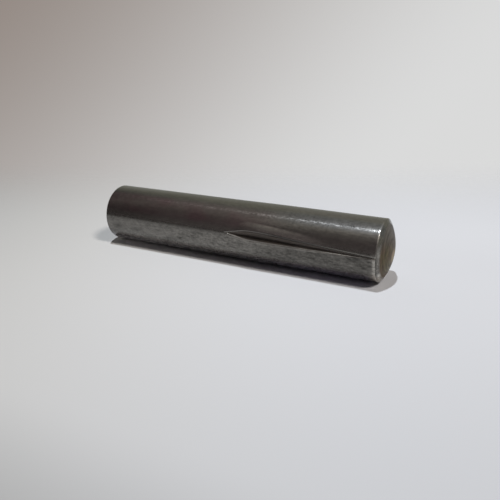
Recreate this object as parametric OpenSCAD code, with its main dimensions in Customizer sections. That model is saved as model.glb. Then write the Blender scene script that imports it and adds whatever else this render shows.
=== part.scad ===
// Half-length reverse-taper groove pin: a ground steel pin with crowned ends.
// V grooves are rolled into one half of its length. They are deepest near the
// middle of the pin and run out at its end. The metal that they push aside
// swells the shank and stands up as a lip on each side of every groove.
// The pin lies along X, with its grooved half towards +X.

/* [Blank] */
// Diameter of the plain half
shank_d = 6; // [4:0.1:10]
// Length over both crowned ends
pin_l = 32; // [24:0.5:60]
// Height of a crowned end
crown_h = 0.9; // [0.5:0.05:1.5]
// Radius on the edge between the shank and a crown
edge_r = 0.15; // [0.1:0.05:0.5]

/* [Grooves] */
// Number of grooves around the shank
groove_n = 3; // [2:1:4]
// Length of a groove, from its tip to the rim of the crown
groove_l = 15.2; // [10:0.1:22]
// Depth of a groove where the roller goes deepest
groove_depth = 0.52; // [0.4:0.02:0.8]
// Depth that is left at the rim of the crown
runout_depth = 0.06; // [0.02:0.01:0.1]
// Angle between the two flanks of a groove
groove_angle = 70; // [50:1:90]
// Radius at the root of a groove
root_r = 0.06; // [0.03:0.01:0.15]
// Radius of the roller that presses a groove
roller_r = 14; // [10:0.5:30]
// Angle of the first groove above the horizontal, at the front and half way along the groove
groove_turn = 6; // [-60:1:60]
// Angle that a groove leans from the direction of the pin's axis
groove_lean = 1.3; // [-2:0.1:2]

/* [Lips] */
// Height of the lips above the shank
lip_h = 0.15; // [0.05:0.01:0.3]
// Arc of the shank that swells along one groove
lip_arc = 45; // [30:1:80]
// Angle from the middle of a groove up to the middle of its swelling
lip_turn = 8; // [-10:1:10]
// Distance from the tip of a groove to where its lips are full
lip_lead = 2.4; // [1.6:0.1:4]
// Length along which the lips rise to that
lip_rise = 1.5; // [0.8:0.1:1.6]
// Length along which the lips stay full
lip_full = 2.2; // [1:0.1:4]
// Height that the lands between the grooves swell
land_h = 0.03; // [0.01:0.005:0.04]

/* [Hidden] */
$fn = 96;
steel = [0.30, 0.29, 0.28];
// How far a cut reaches past what it cuts
cut_over = 1;
// How far the rounding of an edge passes through the faces that it joins
round_share = 1.015;
// How deep a swelling starts and ends under the shank
sink_share = 0.5;
// How much of its height a swelling loses where the lips are full
ease_share = 0.1;

// Crowned ends: a sphere through the rim, joined to the shank by a rounded edge
shank_r = shank_d / 2;
rim_x = pin_l / 2 - crown_h;
crown_r = (shank_r * shank_r + crown_h * crown_h) / (2 * crown_h);
crown_x = pin_l / 2 - crown_r;
edge_y = shank_r - edge_r;
edge_angle = asin(edge_y / (crown_r - edge_r));
edge_x = crown_x + (crown_r - edge_r) * cos(edge_angle);

// Plunge of the roller, from the tip of a groove to its deepest place
plunge_l = sqrt(groove_depth * (2 * roller_r - groove_depth));
tip_x = rim_x - groove_l;
groove_x = rim_x - groove_l / 2;
deep_x = tip_x + plunge_l;
tip_angle = asin(plunge_l / roller_r);

// The root leaves the roller's circle on its tangent through the runout at the rim
run_x = rim_x - deep_x;
run_z = roller_r - groove_depth + runout_depth;
run_reach = norm([run_x, run_z]);
runout_angle = atan2(run_x, run_z) - acos(roller_r / run_reach);
run_l = sqrt(run_reach * run_reach - roller_r * roller_r);
run_start_x = deep_x + roller_r * sin(runout_angle);
plunge_sweep = runout_angle + 2 * tip_angle;

// Section of a groove
flank_angle = groove_angle / 2;
cut_h = groove_depth + lip_h + cut_over;
root_x = root_r * (1 - sin(flank_angle));
root_y = root_r * cos(flank_angle);
cut_y = root_y + (cut_h - root_x) * tan(flank_angle);

// A swelling is a turned barrel beside the pin's axis, so that it fades out at both edges of its arc
lip_r = shank_r + lip_h;
swell_z = (lip_r * lip_r - shank_r * shank_r) / (2 * (lip_r - shank_r * cos(lip_arc / 2)));
swell_r = lip_r - swell_z;
swell_sink = lip_h * sink_share;
swell_end_r = swell_r - lip_h - swell_sink;
lip_x = tip_x + lip_lead;
rise_h = lip_h + swell_sink;
rise_r = (lip_rise * lip_rise + rise_h * rise_h) / (2 * rise_h);
ease_slope = rise_h * ease_share / lip_full;

// Half section of the blank, with the pin's axis along Y
module blank_profile() {
    difference() {
        union() {
            polygon([
                [0, -rim_x],
                [shank_r, -rim_x],
                [shank_r, tip_x],
                [shank_r + land_h, run_start_x],
                [shank_r, edge_x],
                [shank_r, rim_x],
                [0, rim_x]
            ]);
            for (end = [0, 1]) mirror([0, end]) crown_profile();
        }
        for (end = [0, 1]) mirror([0, end]) edge_profile();
    }
}

module crown_profile() {
    translate([0, rim_x]) intersection() {
        square([shank_r, crown_h]);
        translate([0, crown_h - crown_r]) circle(r = crown_r);
    }
}

// What the rounding of an edge takes away
module edge_profile() {
    reach = 2 * edge_r;
    translate([edge_y, edge_x]) difference() {
        polygon([
            [0, 0],
            [reach, 0],
            [reach, reach],
            [reach * sin(edge_angle), reach * cos(edge_angle)]
        ]);
        circle(r = edge_r * round_share);
    }
}

// Half section of a swelling: it rises behind the tip, stays almost full and then tapers off to the rim
module swelling_profile() {
    difference() {
        polygon([
            [0, lip_x - lip_rise],
            [swell_r + ease_slope * lip_rise, lip_x - lip_rise],
            [swell_r - ease_slope * lip_full, lip_x + lip_full],
            [swell_end_r, edge_x],
            [0, edge_x]
        ]);
        difference() {
            translate([0, lip_x - lip_rise - cut_over]) square([lip_r + cut_over, lip_rise + cut_over + swell_sink]);
            translate([swell_r - rise_r, lip_x]) circle(r = rise_r);
        }
    }
}

// Section of a groove, with its root at the origin and its mouth towards -X
module groove_profile() {
    translate([-root_r, 0]) circle(r = root_r);
    polygon([
        [-root_x, -root_y],
        [-root_x, root_y],
        [-cut_h, cut_y],
        [-cut_h, -cut_y]
    ]);
}

module turned(sweep = 360) {
    rotate([0, 90, 0]) rotate_extrude(angle = sweep) children();
}

// The outer half of its barrel
module swelling() {
    translate([0, 0, swell_z]) rotate([90, 0, 0]) turned(180) swelling_profile();
}

// The path of the roller: a plunge on its own radius, then a straight run that rises to the end.
// It leans about the middle of the groove.
module groove_cut() {
    translate([groove_x, 0, shank_r - groove_depth + roller_r]) rotate([0, 0, -groove_lean])
        translate([deep_x - groove_x, 0, 0]) rotate([0, -runout_angle, 0]) {
            rotate([90, 0, 0]) rotate([0, 0, -90]) rotate_extrude(angle = -plunge_sweep)
                translate([roller_r, 0]) groove_profile();
            rotate([0, 90, 0]) linear_extrude(height = run_l + cut_over)
                translate([roller_r, 0]) groove_profile();
        }
}

// Copies its child from the top of the pin to every groove's third of it
module at_grooves() {
    for (i = [0 : groove_n - 1]) rotate([i * 360 / groove_n, 0, 0]) children();
}

// Made with its first swelling at the top. The blank's seam lies in the middle of a land.
module pin() {
    color(steel) rotate([90 - groove_turn - lip_turn, 0, 0]) difference() {
        union() {
            rotate([180 + 180 / groove_n, 0, 0]) turned() blank_profile();
            at_grooves() swelling();
        }
        at_grooves() rotate([lip_turn, 0, 0]) groove_cut();
    }
}

pin();
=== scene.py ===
import math

import bpy
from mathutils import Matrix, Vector


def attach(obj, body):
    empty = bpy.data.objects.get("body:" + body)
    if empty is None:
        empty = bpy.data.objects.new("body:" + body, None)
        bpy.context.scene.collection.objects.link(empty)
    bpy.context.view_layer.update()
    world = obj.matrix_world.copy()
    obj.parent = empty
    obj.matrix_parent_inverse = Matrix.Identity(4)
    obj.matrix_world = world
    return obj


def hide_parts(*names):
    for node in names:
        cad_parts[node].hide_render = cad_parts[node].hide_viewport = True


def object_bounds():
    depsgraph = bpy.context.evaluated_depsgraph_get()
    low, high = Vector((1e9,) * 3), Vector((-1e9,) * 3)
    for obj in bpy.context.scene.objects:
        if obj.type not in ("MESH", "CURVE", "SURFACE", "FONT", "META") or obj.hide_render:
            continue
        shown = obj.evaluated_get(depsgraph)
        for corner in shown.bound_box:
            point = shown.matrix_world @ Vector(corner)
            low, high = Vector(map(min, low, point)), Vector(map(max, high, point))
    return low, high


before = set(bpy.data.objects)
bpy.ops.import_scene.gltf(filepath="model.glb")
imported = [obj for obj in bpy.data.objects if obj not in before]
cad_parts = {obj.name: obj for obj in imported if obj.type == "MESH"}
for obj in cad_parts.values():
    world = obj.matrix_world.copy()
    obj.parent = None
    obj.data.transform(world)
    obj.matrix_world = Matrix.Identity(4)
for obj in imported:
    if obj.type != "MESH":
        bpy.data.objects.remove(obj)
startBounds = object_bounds()
scene = bpy.context.scene
mm = 0.001
print("frame loaded")


# Node helpers: a wire is a socket that can be added, multiplied and so on, each time as one Math node
class wire:
    def __init__(self, tree, socket):
        self.tree = tree
        self.socket = socket

    def step(self, operation, *others, clamp=False):
        node = self.tree.nodes.new("ShaderNodeMath")
        node.operation = operation
        node.use_clamp = clamp
        join(self.tree, self, node.inputs[0])
        for place, other in enumerate(others):
            join(self.tree, other, node.inputs[place + 1])
        return wire(self.tree, node.outputs[0])

    def flipped(self, operation, other):
        node = self.tree.nodes.new("ShaderNodeMath")
        node.operation = operation
        join(self.tree, other, node.inputs[0])
        join(self.tree, self, node.inputs[1])
        return wire(self.tree, node.outputs[0])

    def __add__(self, other):
        return self.step("ADD", other)

    def __sub__(self, other):
        return self.step("SUBTRACT", other)

    def __mul__(self, other):
        return self.step("MULTIPLY", other)

    def __truediv__(self, other):
        return self.step("DIVIDE", other)

    def __radd__(self, other):
        return self.flipped("ADD", other)

    def __rsub__(self, other):
        return self.flipped("SUBTRACT", other)

    def __rmul__(self, other):
        return self.flipped("MULTIPLY", other)

    def sine(self):
        return self.step("SINE")

    def cosine(self):
        return self.step("COSINE")

    def root(self):
        return self.step("SQRT")

    def size(self):
        return self.step("ABSOLUTE")

    def atLeast(self, other):
        return self.step("MAXIMUM", other)

    def atMost(self, other):
        return self.step("MINIMUM", other)

    def power(self, other):
        return self.step("POWER", other)

    # 0 below low, 1 above high and straight in between
    def ramp(self, low, high):
        return (self - low).step("DIVIDE", high - low, clamp=True)

    # the same with a soft start and end
    def ease(self, low, high):
        t = self.ramp(low, high)
        return t * t * (3.0 - 2.0 * t)


def join(tree, value, socket):
    if isinstance(value, wire):
        tree.links.new(value.socket, socket)
    elif isinstance(value, bpy.types.NodeSocket):
        tree.links.new(value, socket)
    else:
        socket.default_value = value


def addNode(tree, kind, inputs=None, **settings):
    node = tree.nodes.new(kind)
    for name, value in settings.items():
        setattr(node, name, value)
    for name, value in (inputs or {}).items():
        join(tree, value, node.inputs[name])
    return node


# the smaller or the larger of two wires, rounded where they meet
def softMin(first, second, width):
    h = (width - (first - second).size()).atLeast(0.0) / width
    return first.atMost(second) - h * h * width * 0.25


def softMax(first, second, width):
    h = (width - (first - second).size()).atLeast(0.0) / width
    return first.atLeast(second) + h * h * width * 0.25


# 1 between low and high, with soft sides of the given width
def band(value, low, high, width):
    return value.ease(low - width, low + width) * (1.0 - value.ease(high - width, high + width))


def mixColour(tree, share, first, second, blend="MIX"):
    node = addNode(tree, "ShaderNodeMix", data_type="RGBA", blend_type=blend)
    join(tree, share, node.inputs[0])
    join(tree, first, node.inputs[6])
    join(tree, second, node.inputs[7])
    return node.outputs[2]


def mixShader(tree, share, first, second):
    node = addNode(tree, "ShaderNodeMixShader")
    join(tree, share, node.inputs[0])
    join(tree, first.outputs[0], node.inputs[1])
    join(tree, second.outputs[0], node.inputs[2])
    return node


# The pin: sizes in millimetres and degrees
pinSizes = {
    "Shank Radius": 3.0,
    "Rim X": 15.1,
    "Crown Height": 0.9,
    "Edge Radius": 0.15,
    "Groove Length": 15.2,
    "Groove Depth": 0.52,
    "Runout Depth": 0.06,
    "Flank Angle": 37.0,
    "Upper Flare": 5.0,
    "Root Round": 0.7,
    "Root Drop": 0.045,        # the flanks meet this far under the rounded root
    "Roller Radius": 14.0,
    "Groove Turn": 5.0,
    "Groove Lean": 1.3,
    "Lip Height": 0.15,
    "Lip Arc": 45.0,
    "Lip Turn": 8.0,
    "Lip Lead": 2.4,
    "Lip Rise": 1.5,
    "Lip Full": 2.2,
    "Lip Round": 0.05,
    "Lip Round Share": 0.3,    # a shallow groove has sharper rims
    "Least Lip Round": 0.012,
    "Land Height": 0.03,
    "Swell Blend": 0.02,
    "Swell Sink Share": 0.5,
    "Swell Ease Share": 0.1,
    "Least Barrel": 0.8,
    "Rim Drop": 0.02,          # from the top of the swelling to the rims of its groove
    "Rim Taper": 0.019,
    "Least Rim Angle": 0.9,
    "Dense Lead": 0.4,         # the rows are dense from here, before the tip
    "Pole Share": 0.03,
    "Groove Column Share": 0.34,
    "Column Spread": 1.5,
}
pinRows = {"dome": 18, "edge": 7, "plain": 30, "groove": 120}
pinStretches = ("dome", "edge", "plain", "groove", "edge", "dome")
pinColumns = 360
grooveCount = 3


def buildPinTree():
    tree = bpy.data.node_groups.new("pinForm", "GeometryNodeTree")
    tree.interface.new_socket("Geometry", in_out="OUTPUT", socket_type="NodeSocketGeometry")
    tree.interface.new_socket("Material", in_out="INPUT", socket_type="NodeSocketMaterial")
    for name, value in pinSizes.items():
        socket = tree.interface.new_socket(name, in_out="INPUT", socket_type="NodeSocketFloat")
        socket.default_value = value
    given = tree.nodes.new("NodeGroupInput")
    size = {name: wire(tree, given.outputs[name]) for name in pinSizes}
    radians = math.pi / 180.0
    quarter = math.pi / 2.0

    # a plain tube, of which each row becomes a place along the pin and each column an angle around it
    ends = [0]
    for name in pinStretches:
        ends.append(ends[-1] + pinRows[name])
    rows = ends[-1]
    tube = addNode(tree, "GeometryNodeMeshCylinder",
                   {"Vertices": pinColumns, "Side Segments": rows, "Radius": 1.0, "Depth": 1.0},
                   fill_type="TRIANGLE_FAN")
    position = addNode(tree, "GeometryNodeInputPosition")
    place = addNode(tree, "ShaderNodeSeparateXYZ", {"Vector": position.outputs[0]})
    rawX, rawY, rawZ = (wire(tree, place.outputs[k]) for k in range(3))
    turn = rawY.step("ARCTAN2", rawX)
    row = (rawZ + 0.5) * float(rows)
    onSide = (rawX * rawX + rawY * rawY).root()
    t = [row.ramp(float(a), float(b)) for a, b in zip(ends[:-1], ends[1:])]

    # outline of the blank: crown, edge, two stretches of the shank, edge and crown
    shankR = size["Shank Radius"]
    crownH = size["Crown Height"]
    edgeR = size["Edge Radius"]
    rimX = size["Rim X"]
    crownR = (shankR * shankR + crownH * crownH) / (2.0 * crownH)
    crownX = rimX + crownH - crownR
    edgeY = shankR - edgeR
    edgeAngle = (edgeY / (crownR - edgeR)).step("ARCSINE")
    edgeX = crownX + (crownR - edgeR) * edgeAngle.cosine()
    tipX = rimX - size["Groove Length"]
    denseX = tipX - size["Dense Lead"]
    poleShare = size["Pole Share"]
    a1 = edgeAngle * (poleShare + (1.0 - poleShare) * t[0])
    a2 = edgeAngle + (quarter - edgeAngle) * t[1]
    a5 = edgeAngle + (quarter - edgeAngle) * (1.0 - t[4])
    a6 = edgeAngle * (1.0 - (1.0 - poleShare) * t[5])
    x = (crownR * (a6.cosine() - a1.cosine()) + edgeR * (a5.cosine() - a2.cosine())
         + (denseX + edgeX) * t[2] + (edgeX - denseX) * t[3] - edgeX)
    blankR = (crownR * (a1.sine() + a6.sine() - edgeAngle.sine())
              + edgeR * (a2.sine() + a5.sine() - edgeAngle.sine() - 1.0))

    # root of a groove: plunge and run of the roller
    depth = size["Groove Depth"]
    roller = size["Roller Radius"]
    plunge = (depth * (2.0 * roller - depth)).root()
    deepX = tipX + plunge
    runX = rimX - deepX
    runZ = roller - depth + size["Runout Depth"]
    reach = (runX * runX + runZ * runZ).root()
    rise = runX.step("ARCTAN2", runZ) - (roller / reach).step("ARCCOSINE")
    startX = deepX + roller * rise.sine()
    rollerZ = shankR - depth + roller
    circle = rollerZ - (roller * roller - (x - deepX) * (x - deepX)).atLeast(0.0).root()
    line = rollerZ - roller * rise.cosine() + (x - startX) * rise.step("TANGENT")
    onLine = x.step("GREATER_THAN", startX)
    rootR = circle + (line - circle) * onLine

    # the swelling along a groove, a barrel beside the pin's axis, and the land between two grooves
    lipR = shankR + size["Lip Height"]
    arc = size["Lip Arc"] * (0.5 * radians)
    swellZ = (lipR * lipR - shankR * shankR) / (2.0 * (lipR - shankR * arc.cosine()))
    swellR = lipR - swellZ
    riseH = size["Lip Height"] * (1.0 + size["Swell Sink Share"])
    lipX = tipX + size["Lip Lead"]
    fullX = lipX + size["Lip Full"]
    riseR = (size["Lip Rise"] * size["Lip Rise"] + riseH * riseH) / (2.0 * riseH)
    before = (lipX - x).atLeast(0.0)
    after = (x - fullX).atLeast(0.0)
    riseDrop = before * before / (2.0 * riseR)
    eased = (x - lipX).atLeast(0.0).atMost(size["Lip Full"]) / size["Lip Full"]
    easeDrop = riseH * size["Swell Ease Share"] * eased
    taperDrop = after * riseH * (1.0 - size["Swell Ease Share"]) / (edgeX - fullX)
    barrel = (swellR - riseDrop - easeDrop - taperDrop).atLeast(size["Least Barrel"])
    landStart = (x - tipX) / (startX - tipX)
    landEnd = (edgeX - x) / (edgeX - startX)
    land = size["Land Height"] * landStart.atMost(landEnd).atLeast(0.0)

    # columns: those of each third of a turn are gathered between the rims of its groove
    third = 2.0 * math.pi / grooveCount
    index = (turn / third).step("ROUND")
    u = (turn - index * third) / (third / 2.0)
    side = u.step("SIGN")
    u = u.size()
    beta = (size["Flank Angle"] + size["Upper Flare"] * (0.5 - 0.5 * side)) * radians
    lipTop = (lipR - size["Rim Drop"] - riseDrop - after * size["Rim Taper"]).atLeast(shankR)
    rimAngle = beta - ((rootR / lipTop).atMost(1.0) * beta.sine()).step("ARCSINE")
    rimAngle = rimAngle.atLeast(size["Least Rim Angle"] * radians)
    columnShare = size["Groove Column Share"]
    inside = (u / columnShare).atMost(1.0)
    outside = ((u - columnShare) / (1.0 - columnShare)).atLeast(0.0)
    delta = rimAngle * inside + (third / 2.0 - rimAngle) * outside.power(size["Column Spread"])
    grooveX = rimX - size["Groove Length"] * 0.5
    lean = size["Groove Lean"] * radians / shankR
    leanShift = (x.atLeast(tipX - 2.0) - grooveX) * lean
    centre = math.pi - size["Groove Turn"] * radians
    angle = centre + index * third + leanShift + side * delta

    # radius at each vertex. The swelling falls off past its ends, and no groove is cut before its tip
    fallOff = 20.0
    noCut = 1000.0
    beforeTip = (tipX - x).atLeast(0.0)
    swellTurn = side * delta + leanShift + size["Lip Turn"] * radians
    swing = swellTurn.sine() * swellZ
    swelling = swellTurn.cosine() * swellZ + (barrel * barrel - swing * swing).atLeast(0.01).root()
    swelling = swelling - ((x - edgeX).atLeast(0.0) + beforeTip) * fallOff
    outer = softMax(blankR + land, swelling, size["Swell Blend"])
    rootRound = size["Root Round"] * radians
    flankTurn = (delta * delta + rootRound * rootRound).root()
    apexR = rootR - size["Root Drop"]
    groove = apexR * beta.sine() / (beta - flankTurn).atLeast(0.03).sine()
    groove = groove + beforeTip * noCut
    lipRound = ((lipTop - rootR) * size["Lip Round Share"]).atLeast(size["Least Lip Round"])
    radius = softMin(outer, groove, size["Lip Round"].atMost(lipRound)) * onSide

    # what the material reads: depth in the groove, height of the swelling, and place between the rims
    # of the groove from -1 below to 1 above
    geometry = tube.outputs["Mesh"]
    stored = {
        "cut": (outer - groove).atLeast(0.0),
        "swell": swelling - blankR - land,
        "flank": (0.0 - side) * delta / rimAngle,
    }
    for name, value in stored.items():
        store = addNode(tree, "GeometryNodeStoreNamedAttribute", {"Geometry": geometry, "Name": name},
                        data_type="FLOAT", domain="POINT")
        valueSockets = [s for s in store.inputs if s.name == "Value" and s.enabled]
        join(tree, value, valueSockets[0])
        geometry = store.outputs[0]

    made = addNode(tree, "ShaderNodeCombineXYZ")
    join(tree, x * mm, made.inputs[0])
    join(tree, radius * angle.cosine() * mm, made.inputs[1])
    join(tree, radius * angle.sine() * mm, made.inputs[2])
    shaped = addNode(tree, "GeometryNodeSetPosition",
                     {"Geometry": geometry, "Position": made.outputs[0]})
    smooth = addNode(tree, "GeometryNodeSetShadeSmooth",
                     {"Geometry": shaped.outputs[0], "Shade Smooth": True})
    whole = addNode(tree, "GeometryNodeRealizeInstances", {"Geometry": smooth.outputs[0]})
    painted = addNode(tree, "GeometryNodeSetMaterial",
                      {"Geometry": whole.outputs[0], "Material": given.outputs["Material"]})
    result = tree.nodes.new("NodeGroupOutput")
    tree.links.new(painted.outputs[0], result.inputs[0])
    return tree


def makePin(material):
    tree = buildPinTree()
    seed = bpy.data.objects.new("pinSeed", bpy.data.meshes.new("pinSeed"))
    scene.collection.objects.link(seed)
    modifier = seed.modifiers.new("pinForm", "NODES")
    modifier.node_group = tree
    for item in tree.interface.items_tree:
        if item.item_type == "SOCKET" and item.in_out == "INPUT":
            if item.name == "Material":
                modifier[item.identifier] = material
            else:
                modifier[item.identifier] = pinSizes[item.name]
    depsgraph = bpy.context.evaluated_depsgraph_get()
    mesh = bpy.data.meshes.new_from_object(seed.evaluated_get(depsgraph))
    mesh.name = "pinVisual"
    bpy.data.objects.remove(seed)
    piece = bpy.data.objects.new("pinVisual", mesh)
    scene.collection.objects.link(piece)
    return piece


# Tint: multiplies a share of a colour. The steel and the floor use it.
def makeTintGroup():
    tree = bpy.data.node_groups.new("tint", "ShaderNodeTree")
    tree.interface.new_socket("Colour", in_out="INPUT", socket_type="NodeSocketColor")
    tree.interface.new_socket("Tint", in_out="INPUT", socket_type="NodeSocketColor")
    tree.interface.new_socket("Share", in_out="INPUT", socket_type="NodeSocketFloat")
    tree.interface.new_socket("Tinted", in_out="OUTPUT", socket_type="NodeSocketColor")
    given = tree.nodes.new("NodeGroupInput")
    full = mixColour(tree, 1.0, given.outputs["Colour"], given.outputs["Tint"], "MULTIPLY")
    mixed = mixColour(tree, given.outputs["Share"], given.outputs["Colour"], full)
    result = tree.nodes.new("NodeGroupOutput")
    tree.links.new(mixed, result.inputs["Tinted"])
    return tree


tintGroup = makeTintGroup()


def tinted(tree, colour, share, tint):
    node = addNode(tree, "ShaderNodeGroup", node_tree=tintGroup)
    join(tree, colour, node.inputs["Colour"])
    join(tree, tint, node.inputs["Tint"])
    join(tree, share, node.inputs["Share"])
    return node.outputs["Tinted"]


def scaled(tree, colour, tone):
    return mixColour(tree, 1.0, colour, tone.socket, "MULTIPLY")


def noise(tree, vector, scale, detail=2.0, roughness=0.5):
    node = addNode(tree, "ShaderNodeTexNoise",
                   {"Vector": vector, "Scale": scale, "Detail": detail, "Roughness": roughness})
    return wire(tree, node.outputs["Fac"])


def asVector(tree, x, y, z):
    node = addNode(tree, "ShaderNodeCombineXYZ", {"X": x, "Y": y, "Z": z})
    return node.outputs[0]


def attribute(tree, name):
    node = addNode(tree, "ShaderNodeAttribute", attribute_name=name)
    return wire(tree, node.outputs["Fac"])


# Steel: ground, dark and a little oily. Tones multiply the flat colour.
steelLook = {
    "flat": (0.172, 0.162, 0.145, 1.0),
    "purple": (1.0, 0.77, 0.86, 1.0),
    "olive": (0.98, 1.0, 0.90, 1.0),
    "cool": (0.94, 1.0, 1.10, 1.0),
    "violet": (1.0, 0.97, 1.22, 1.0),
    "grime": (0.12, 0.103, 0.09, 1.0),
    "brown": (0.105, 0.076, 0.050, 1.0),
    "rust": (0.110, 0.092, 0.052, 1.0),
    "ash": (0.105, 0.097, 0.085, 1.0),
    "dullRoughness": 0.45,
    "glossRoughness": 0.15,
    "lineRoughness": 0.23,
    "lineSpread": 0.85,
    "lineShare": 0.15,
}

# Zones of painted light and shade, where the pin's reflections are lighter or darker. They add to the
# tone or scale it.
# Their reach is in degrees over the pin, from its front, and in millimetres along it: low, high and the
# half width of the soft sides. An open side is far off.
far = 999.0
paintedReflectionZones = {
    "leftUnderside": {"adds": 2.2, "over": (-87.0, -59.0, 9.0), "along": (-far, -7.5, 7.5)},
    "leftBelow": {"scales": -0.3, "over": (-46.0, -24.0, 5.0), "along": (-far, -12.75, 1.75)},
    "paleFront": {"adds": 0.3, "over": (10.0, 30.0, 5.0), "along": (-9.0, 3.0, 3.0)},
    "paleTip": {"adds": 0.18, "over": (18.0, 32.0, 4.0), "along": (0.4, 1.6, 0.6)},
    "paleShoulder": {"adds": 0.25, "over": (34.0, 44.0, 4.0), "along": (1.5, 7.0, 2.0)},
    "darkLeft": {"scales": -0.25, "over": (46.0, 70.0, 6.0), "along": (-far, -10.75, 3.75)},
    "paleTop": {"scales": 0.25, "over": (90.0, far, 6.0), "along": (9.5, far, 4.5)},
    "darkTop": {"scales": -0.2, "over": (90.0, far, 6.0), "along": (-8.0, 2.0, 3.0)},
}
# painted sheen and painted shade round the light line
paintedSheenZones = {
    "farSheen": {"adds": 0.08, "over": (66.0, 80.0, 4.0), "along": (-5.0, far, 3.0)},
    "nearSheen": {"adds": 0.2, "over": (38.0, 48.0, 3.0), "along": (7.0, far, 2.0)},
    "lineDimming": {"adds": -0.2, "over": (49.0, 56.0, 2.0), "along": (11.5, 13.5, 1.0)},
}


def zoned(tone, zones, phi, x):
    for zone in zones.values():
        share = band(phi, *zone["over"]) * band(x, *zone["along"])
        if "adds" in zone:
            tone = tone + zone["adds"] * share
        else:
            tone = tone * (1.0 + zone["scales"] * share)
    return tone


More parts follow.
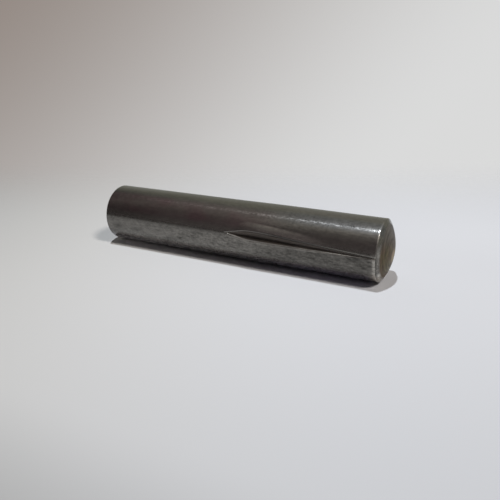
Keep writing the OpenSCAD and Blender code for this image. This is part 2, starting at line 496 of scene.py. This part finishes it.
def makeSteel():
    material = bpy.data.materials.new("darkSteel")
    material.use_nodes = True
    tree = material.node_tree
    tree.nodes.clear()
    coords = addNode(tree, "ShaderNodeTexCoord")
    place = addNode(tree, "ShaderNodeSeparateXYZ", {"Vector": coords.outputs["Object"]})
    x, y, z = (wire(tree, place.outputs[k]) / mm for k in range(3))
    phi = z.step("ARCTAN2", 0.0 - y) * (180.0 / math.pi)
    radius = (y * y + z * z).root()
    endX = x.size()
    cut = attribute(tree, "cut")
    flank = attribute(tree, "flank")
    swell = attribute(tree, "swell")

    # grain: fine, a little longer along the pin; marks of grinding run around it
    grain = noise(tree, asVector(tree, x * 0.42, y, z), 5.4, 4.0, 0.65) - 0.5
    marks = noise(tree, asVector(tree, x * 9.0, y * 0.35, z * 0.35), 1.0, 2.0, 0.6) - 0.5
    mottle = noise(tree, asVector(tree, x * 0.36, y, z), 1.3, 3.0, 0.55) - 0.5
    blotch = noise(tree, asVector(tree, x * 0.6, y, z), 0.33, 2.0, 0.5)

    # grain and mottle are stronger below, where the right half is darker; the underside gets painted
    # light, a painted reflection that is stronger to the left
    below = band(phi, -38.0, 3.0, 5.0)
    above = band(phi, 34.0, 66.0, 6.0) * x.ease(1.0, 9.0)
    under = phi.ease(-96.0, -78.0) * (1.0 - phi.ease(-48.0, -28.0))
    rightShare = x.ease(-2.0, 10.0)
    coarse = (0.3 + 0.9 * x.ease(-14.0, -4.0) - 0.4 * rightShare) * below + 0.9 * above
    mottled = 0.3 + (1.0 - 0.3 * rightShare) * below
    dimmed = below * (0.06 + 0.32 * rightShare)
    paintedUnderLight = under * (1.7 - 0.6 * x.ease(-14.0, 4.0))
    tone = 1.0 + grain * (0.9 + coarse) + marks * (0.2 + 0.5 * above)
    tone = tone + mottle * mottled - dimmed + paintedUnderLight
    # painted light and shade over the pin's reflections
    tone = zoned(tone, paintedReflectionZones, phi, x)

    # painted highlights: on the swelling above its groove, where it mirrors the light, and on the
    # groove's lower rim towards the end
    paintedSwellShine = (0.08 + 0.75 * x.ease(2.4, 5.0)) * (1.0 - 0.85 * x.ease(7.5, 10.5))
    tone = tone * (1.0 + paintedSwellShine * swell.ease(-0.025, 0.01) * flank.ease(1.05, 1.5))
    paintedRimGlint = (0.3 * x.ease(0.0, 1.5) + 0.5 * x.ease(7.0, 10.0)) * (1.0 - x.ease(13.0, 15.0))
    tone = tone + paintedRimGlint * band(flank, -1.5, -1.0, 0.2)
    rimShade = band(flank, 0.75, 1.3, 0.15) * band(x, 5.0, 11.0, 1.5)
    tone = tone * (1.0 - 0.4 * rimShade)
    # a painted sheen lies above and below the light line, mostly towards the end, and painted shade dims
    # the line near the end
    tone = zoned(tone, paintedSheenZones, phi, x)

    # at the right end the edge, its chips and a ring on the crown are brighter below: partly wear, partly
    # a painted reflection of the lit floor; a dark line lies beside the edge
    lower = (1.0 - phi.ease(4.0, 18.0)) * x.ease(-1.0, 1.0)
    rim = band(endX, 15.02, 15.14, 0.03)
    wearAndFloorGleam = (0.4 * x.ease(14.5, 14.8) + 1.6 * x.ease(14.75, 14.95)) * (1.0 - x.ease(15.05, 15.09))
    chips = noise(tree, asVector(tree, x, y, z), 3.1, 2.0, 0.6).ease(0.56, 0.64)
    chips = chips * band(endX, 14.75, 15.3, 0.15)
    ring = band(endX, 15.2, 15.42, 0.05) * phi.ease(-64.0, -40.0)
    bright = 0.6 * (chips + ring) + 0.5 * rim * phi.ease(-58.0, -35.0)
    tone = tone * (1.0 + wearAndFloorGleam * below + bright * lower)
    tone = tone * (1.0 - 0.3 * band(endX, 15.1, 15.16, 0.02) * lower)
    colour = scaled(tree, steelLook["flat"], tone.atLeast(0.2))

    # a purple tint of old oil in blotches, and painted reflection tints: olive towards the top, cool
    # round the light line and violet on the underside
    stained = (0.4 + 0.6 * blotch.ease(0.4, 0.6)) * (1.0 - swell.ease(0.0, 0.03) * x.ease(1.5, 4.0))
    oilAndReflectionTints = {
        "purple": band(phi, 22.0, 62.0, 7.0) * (1.0 - x.ease(-2.0, 7.0)) * stained,
        "olive": band(phi, 68.0, 118.0, 6.0) * (1.0 - 0.6 * x.ease(0.0, 10.0)),
        "cool": band(phi, 44.0, 70.0, 6.0) * x.ease(2.0, 10.0),
        "violet": under * (0.3 + 0.7 * rightShare) * (1.0 - x.ease(14.0, 14.8)),
    }
    for name, share in oilAndReflectionTints.items():
        colour = tinted(tree, colour, share, steelLook[name])

    # a groove holds dull grime, painted darker as shade on its lower flank and near its upper rim, with a
    # painted reflection line at its root and two finer painted highlight lines on its upper flank
    inGroove = cut.ease(0.02, 0.10)
    paintedRootGleam = band(flank, -0.2, 0.2, 0.12)
    paintedFlankGleams = band(flank, 0.27, 0.38, 0.05) + 0.8 * band(flank, 0.55, 0.66, 0.05)
    shade = 0.75 + 0.1 * flank.ease(-0.3, 0.3) - 0.3 * flank.ease(0.6, 0.9) * x.ease(3.0, 6.0)
    shade = shade + mottle * 1.2 + paintedFlankGleams * cut.ease(0.08, 0.2) * 1.5 + 0.35 * paintedRootGleam
    colour = mixColour(tree, inGroove, colour, scaled(tree, steelLook["grime"], shade.atLeast(0.3)))

    # brown ends with turned rings, rubbed pale at the top of the crown
    onEnd = endX.ease(15.0, 15.25) * (1.0 - radius.ease(2.4, 2.7))
    rings = noise(tree, asVector(tree, radius * 3.5, phi * 0.012, 0.0), 1.6, 3.0, 0.7) - 0.5
    rusty = noise(tree, asVector(tree, x, y, z), 1.1, 3.0, 0.6).ease(0.42, 0.6)
    topZ = z + 0.35
    rubbed = 1.0 - (y * y + topZ * topZ).root().ease(0.4, 0.8)
    brown = mixColour(tree, rusty, steelLook["brown"], steelLook["rust"])
    brown = mixColour(tree, z.ease(0.2, 1.9), brown, steelLook["ash"])
    brown = scaled(tree, brown, (1.0 + rings * 3.0 + 1.8 * rubbed).atLeast(0.3))
    colour = mixColour(tree, onEnd, colour, brown)

    # three lobes: a dull one, a gloss, and a thin one that the marks spread along the pin
    dirty = inGroove.atLeast(onEnd)
    height = grain * (0.003 + 0.009 * below * x.ease(-16.0, -4.0)) + marks * 0.004
    bump = addNode(tree, "ShaderNodeBump", {"Strength": 1.0, "Distance": mm, "Height": height})
    fineBump = addNode(tree, "ShaderNodeBump", {"Strength": 1.0, "Distance": mm, "Height": height * 0.7})
    axis = addNode(tree, "ShaderNodeCombineXYZ", {"X": 1.0})
    dull = addNode(tree, "ShaderNodeBsdfPrincipled",
                   {"Metallic": 1.0 - dirty * 0.9, "Base Color": colour,
                    "Roughness": steelLook["dullRoughness"], "Normal": bump.outputs[0],
                    "Specular IOR Level": 0.5 - 0.42 * onEnd})
    gloss = addNode(tree, "ShaderNodeBsdfPrincipled",
                    {"Metallic": 1.0, "Base Color": colour,
                     "Roughness": steelLook["glossRoughness"], "Normal": bump.outputs[0]})
    line = addNode(tree, "ShaderNodeBsdfPrincipled",
                   {"Metallic": 1.0, "Base Color": colour,
                    "Roughness": steelLook["lineRoughness"], "Normal": fineBump.outputs[0],
                    "Anisotropic": steelLook["lineSpread"], "Tangent": axis.outputs[0]})
    dullShare = 0.12 + 0.26 * (1.0 - phi.ease(0.0, 25.0))
    dullShare = dullShare.atLeast(dirty * 0.95).atLeast(rim * 0.85)
    sparkle = noise(tree, asVector(tree, x * 0.7, y, z), 6.5, 2.0, 0.6)
    lineShare = steelLook["lineShare"] * (0.2 + 1.9 * sparkle.ease(0.44, 0.64))
    lineShare = lineShare * (1.0 - dirty.atLeast(rim))
    both = mixShader(tree, dullShare, gloss, dull)
    surface = mixShader(tree, lineShare, both, line)
    addNode(tree, "ShaderNodeOutputMaterial", {"Surface": surface.outputs[0]})
    return material


pinPiece = makePin(makeSteel())
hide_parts("pin")
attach(pinPiece, "root")
print("pin made", len(pinPiece.data.polygons), "faces")


# Floor: pale paper that fades into the background behind the pin. Places on it are in millimetres.
floorLook = {
    "pale": (0.786, 0.807, 0.838, 1.0),
    "dim": (0.462, 0.480, 0.497, 1.0),
    "warm": (1.02, 0.99, 0.925, 1.0),
    "dark": (0.12, 0.11, 0.11, 1.0),
    "height": startBounds[0].z,
    "reach": 3.0,
    "sideways": (0.889, 0.457),
    "palest": (8.0, -3.0),
    "rightShare": 0.3,
    "dimReach": 75.0,
    "frontShade": 0.3,
    "backShine": 0.06,
}


def makePaper():
    material = bpy.data.materials.new("paleFloor")
    material.use_nodes = True
    tree = material.node_tree
    tree.nodes.clear()
    coords = addNode(tree, "ShaderNodeTexCoord")
    place = addNode(tree, "ShaderNodeSeparateXYZ", {"Vector": coords.outputs["Object"]})
    x, y = (wire(tree, place.outputs[k]) / mm for k in range(2))
    path = addNode(tree, "ShaderNodeLightPath")
    seen = wire(tree, path.outputs["Is Camera Ray"])
    mirrored = wire(tree, path.outputs["Is Glossy Ray"])

    # the floor's colour carries painted light: palest round the grooved half and dimmer away from it,
    # with painted shade at the front and a painted shine behind the grooved half; it is warmer to the
    # left
    across, back = floorLook["sideways"]
    along = across * x + back * y
    deep = across * y - back * x
    palestAlong, palestDeep = floorLook["palest"]
    nearest = (deep - palestDeep).atMost(0.0)
    leftward = (along - palestAlong).atMost(0.0)
    rightward = (along - palestAlong).atLeast(0.0)
    aside = leftward + floorLook["rightShare"] * rightward
    away = (aside * aside + nearest * nearest).root()
    paperAndLight = mixColour(tree, away.ease(0.0, floorLook["dimReach"]), floorLook["pale"], floorLook["dim"])
    lit = 1.0 - floorLook["frontShade"] * (1.0 - y.ease(-40.0, -28.0))
    lit = lit + floorLook["backShine"] * deep.ease(-6.0, 10.0) * along.ease(0.0, 25.0)
    paperAndLight = scaled(tree, paperAndLight, lit)
    paperAndLight = tinted(tree, paperAndLight, 1.0 - along.ease(-28.0, 12.0), floorLook["warm"])
    # in the steel the front of the room is dark
    bounce = mixColour(tree, y.ease(-48.0, -10.0), floorLook["dark"], floorLook["pale"])
    matt = addNode(tree, "ShaderNodeBsdfDiffuse", {"Color": mixColour(tree, mirrored, paperAndLight, bounce)})
    clear = addNode(tree, "ShaderNodeBsdfTransparent")
    distance = (x * x + y * y).root()
    behind = deep.ease(10.0, 58.0).atLeast(distance.ease(45.0, 95.0))
    surface = mixShader(tree, behind * seen, matt, clear)
    addNode(tree, "ShaderNodeOutputMaterial", {"Surface": surface.outputs[0]})
    return material


def makeFloor():
    mesh = bpy.data.meshes.new("floor")
    r = floorLook["reach"]
    z = floorLook["height"]
    mesh.from_pydata([(-r, -r, z), (r, -r, z), (r, r, z), (-r, r, z)], [], [(0, 1, 2, 3)])
    mesh.materials.append(makePaper())
    floor = bpy.data.objects.new("floor", mesh)
    scene.collection.objects.link(floor)


makeFloor()
print("floor made")


# Room: dim at the front, pale at the back and darker to the left
roomLook = {
    "plainLeft": (0.22, 0.203, 0.190, 1.0),
    "plainRight": (0.026, 0.024, 0.031, 1.0),
    "plainFront": 0.06,
    "front": (0.192, 0.168, 0.176, 1.0),
    "zenith": (0.46, 0.445, 0.425, 1.0),
    "back": (0.47, 0.467, 0.44, 1.0),
    "rear": (0.39, 0.39, 0.35, 1.0),
    "leftShare": 0.52,
    "shownLeft": (0.255, 0.208, 0.182, 1.0),
    "shownRight": (0.70, 0.702, 0.70, 1.0),
}


def makeRoom():
    world = bpy.data.worlds.new("room")
    scene.world = world
    world.use_nodes = True
    tree = world.node_tree
    tree.nodes.clear()
    coords = addNode(tree, "ShaderNodeTexCoord")
    place = addNode(tree, "ShaderNodeSeparateXYZ", {"Vector": coords.outputs["Generated"]})
    dx, dy, dz = (wire(tree, place.outputs[k]) for k in range(3))
    path = addNode(tree, "ShaderNodeLightPath")

    # what the steel mirrors, by the angle over the pin from the front horizon to the back one
    over = dz.step("ARCTAN2", 0.0 - dy) * (180.0 / math.pi)
    mirror = mixColour(tree, over.ease(28.0, 80.0), roomLook["front"], roomLook["zenith"])
    mirror = mixColour(tree, over.ease(96.0, 120.0), mirror, roomLook["back"])
    mirror = mixColour(tree, over.ease(145.0, 172.0), mirror, roomLook["rear"])
    left = roomLook["leftShare"] + (1.0 - roomLook["leftShare"]) * dx.ease(-0.75, -0.15)
    left = left + (1.0 - left) * over.ease(114.0, 162.0) * 0.8
    mirror = scaled(tree, mirror, left)

    # soft light on what is dull
    plain = mixColour(tree, dx.ease(-0.9, 0.6), roomLook["plainLeft"], roomLook["plainRight"])
    backShare = roomLook["plainFront"] + (1.0 - roomLook["plainFront"]) * dy.ease(-0.5, 0.4)
    plain = scaled(tree, plain, backShare)

    # seen past the pin the background is darker to the left, and elsewhere it is pale
    across = dx - 0.8 * dz + 2.0 * (0.45 - dy).atLeast(0.0)
    shown = mixColour(tree, across.ease(-1.0, -0.08), roomLook["shownLeft"], roomLook["shownRight"])

    colour = mixColour(tree, path.outputs["Is Glossy Ray"], plain, mirror)
    colour = mixColour(tree, path.outputs["Is Camera Ray"], colour, shown)
    shader = addNode(tree, "ShaderNodeBackground", {"Color": colour})
    addNode(tree, "ShaderNodeOutputWorld", {"Surface": shader.outputs[0]})


makeRoom()
print("room made")


# Lamps: a small one overhead and a wider one from the right, in millimetres and watts
lamps = {
    "overhead": {
        "place": (-15.0, -29.0, 300.0),
        "size": 12.0,
        "power": 0.452,
        "colour": (0.96, 1.0, 1.05),
    },
    "right": {
        "place": (180.0, -70.0, 260.0),
        "size": 60.0,
        "power": 0.418,
        "colour": (1.06, 0.99, 0.94),
    },
}


def makeLamp(name, look):
    data = bpy.data.lights.new(name, "AREA")
    data.shape = "DISK"
    data.size = look["size"] * mm
    data.energy = look["power"]
    data.color = look["colour"]
    lamp = bpy.data.objects.new(name, data)
    lamp.location = Vector(look["place"]) * mm
    lamp.rotation_mode = "QUATERNION"
    lamp.rotation_quaternion = (-lamp.location).to_track_quat("-Z", "Y")
    scene.collection.objects.link(lamp)


for lampName, lampLook in lamps.items():
    makeLamp(lampName, lampLook)
print("lamps made")


# Camera: fitted to the outline of the pin, in millimetres and degrees
cameraFit = {
    "place": (26.6961, -49.5562, 17.0541),
    "turn": 27.2104,
    "tilt": 18.9967,
    "lens": 40.838,
    "sensor": 36.0,
}


def makeCamera():
    data = bpy.data.cameras.new("camera")
    data.sensor_width = cameraFit["sensor"]
    data.lens = cameraFit["lens"]
    data.clip_start = 0.001
    data.clip_end = 20.0
    camera = bpy.data.objects.new("camera", data)
    camera.location = Vector(cameraFit["place"]) * mm
    camera.rotation_euler = (math.radians(90.0 - cameraFit["tilt"]), 0.0, math.radians(cameraFit["turn"]))
    scene.collection.objects.link(camera)
    scene.camera = camera


makeCamera()
scene.view_settings.view_transform = "Standard"
print("camera made")

print("scene done")
